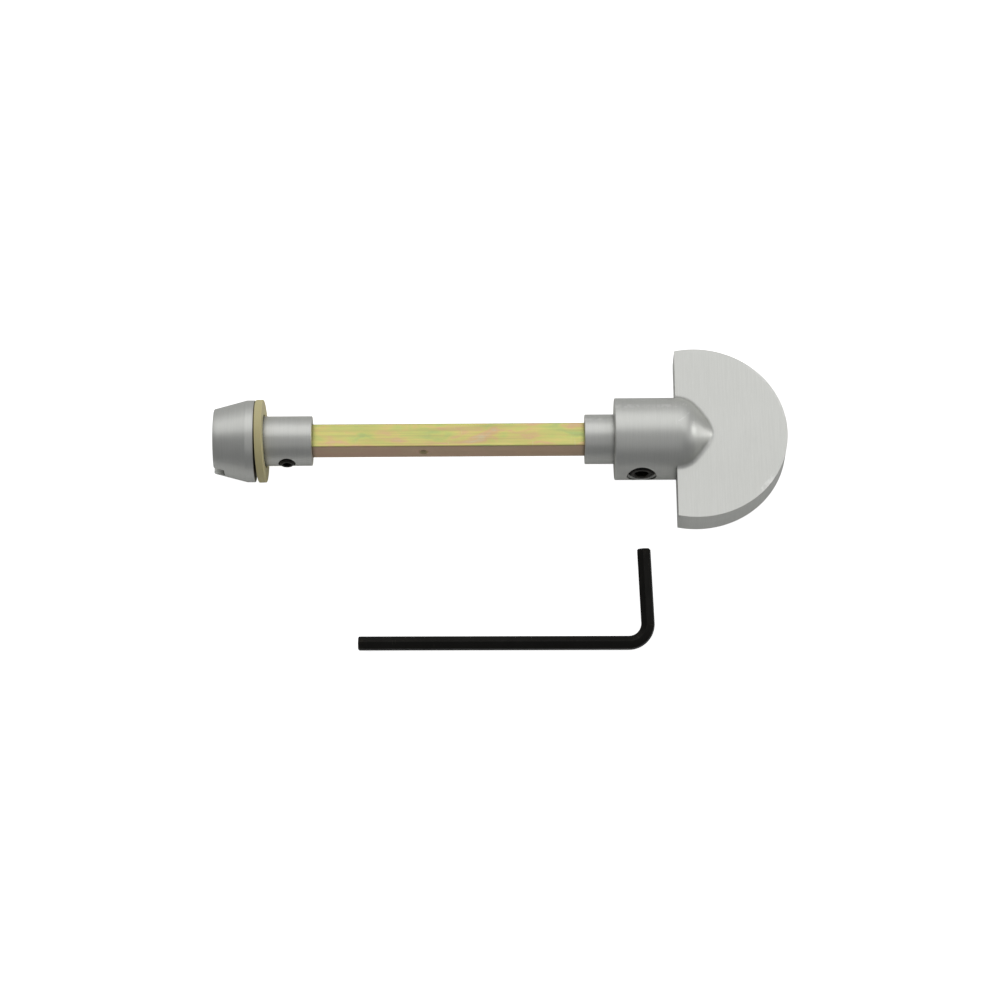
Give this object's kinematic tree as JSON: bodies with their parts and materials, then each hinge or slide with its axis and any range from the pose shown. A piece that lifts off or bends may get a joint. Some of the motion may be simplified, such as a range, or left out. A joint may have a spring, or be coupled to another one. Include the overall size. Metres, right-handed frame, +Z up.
{
  "type": "thumb turn and release set",
  "caption": "Half-moon door thumb turn on a square spindle with a coin-slotted emergency release, glide washer, grub screws and a loose hex key.",
  "frame": {"origin": "middle of the footprint of the set and its key, on the surface that they lie on", "axes": "+X along the spindle from the release knob to the thumb turn, +Y to the back, away from the key, +Z up"},
  "size_m": [0.1116, 0.0588, 0.0162],
  "materials": {
    "satin_aluminium": "satin anodised over fine brushing",
    "black_oxide_screw": "black oxide",
    "yellow_zinc": "yellow passivated zinc, iridescent",
    "beige_nylon": "plain moulded nylon",
    "black_oxide_key": "black oxide, lightly oiled"
  },
  "bodies": {
    "spindle": {"spindle": "yellow_zinc"},
    "thumb_turn": {"thumb_turn": "satin_aluminium"},
    "turn_grub_screw": {"turn_grub_screw": "black_oxide_screw"},
    "release_knob": {"release_knob": "satin_aluminium"},
    "release_grub_screw": {"release_grub_screw": "black_oxide_screw"},
    "glide_washer": {"glide_washer": "beige_nylon"},
    "hex_key": {"hex_key": "black_oxide_key"}
  },
  "joints": [
    {"name": "turn_pull_off", "type": "slide", "parent": "spindle", "child": "thumb_turn", "axis": [1, 0, 0], "range_m": [-0.0008, 0.02]},
    {"name": "turn_screw_travel", "type": "slide", "parent": "thumb_turn", "child": "turn_grub_screw", "axis": [0, -0.9586, 0.2847], "range_m": [0, 0.008]},
    {"name": "release_pull_off", "type": "slide", "parent": "spindle", "child": "release_knob", "axis": [-1, 0, 0], "range_m": [-0.0008, 0.015]},
    {"name": "release_screw_travel", "type": "slide", "parent": "release_knob", "child": "release_grub_screw", "axis": [0, -0.9586, 0.2847], "range_m": [0, 0.005]},
    {"name": "washer_turn", "type": "hinge", "parent": "release_knob", "child": "glide_washer", "pos_m": [-0.04671, 0.0113, 0.00812], "axis": [0.9991, 0.0296, 0.0296], "continuous": true},
    {"name": "key_lift", "type": "slide", "parent": "spindle", "child": "hex_key", "axis": [0, 0, 1], "range_m": [0, 0.05]}
  ]
}
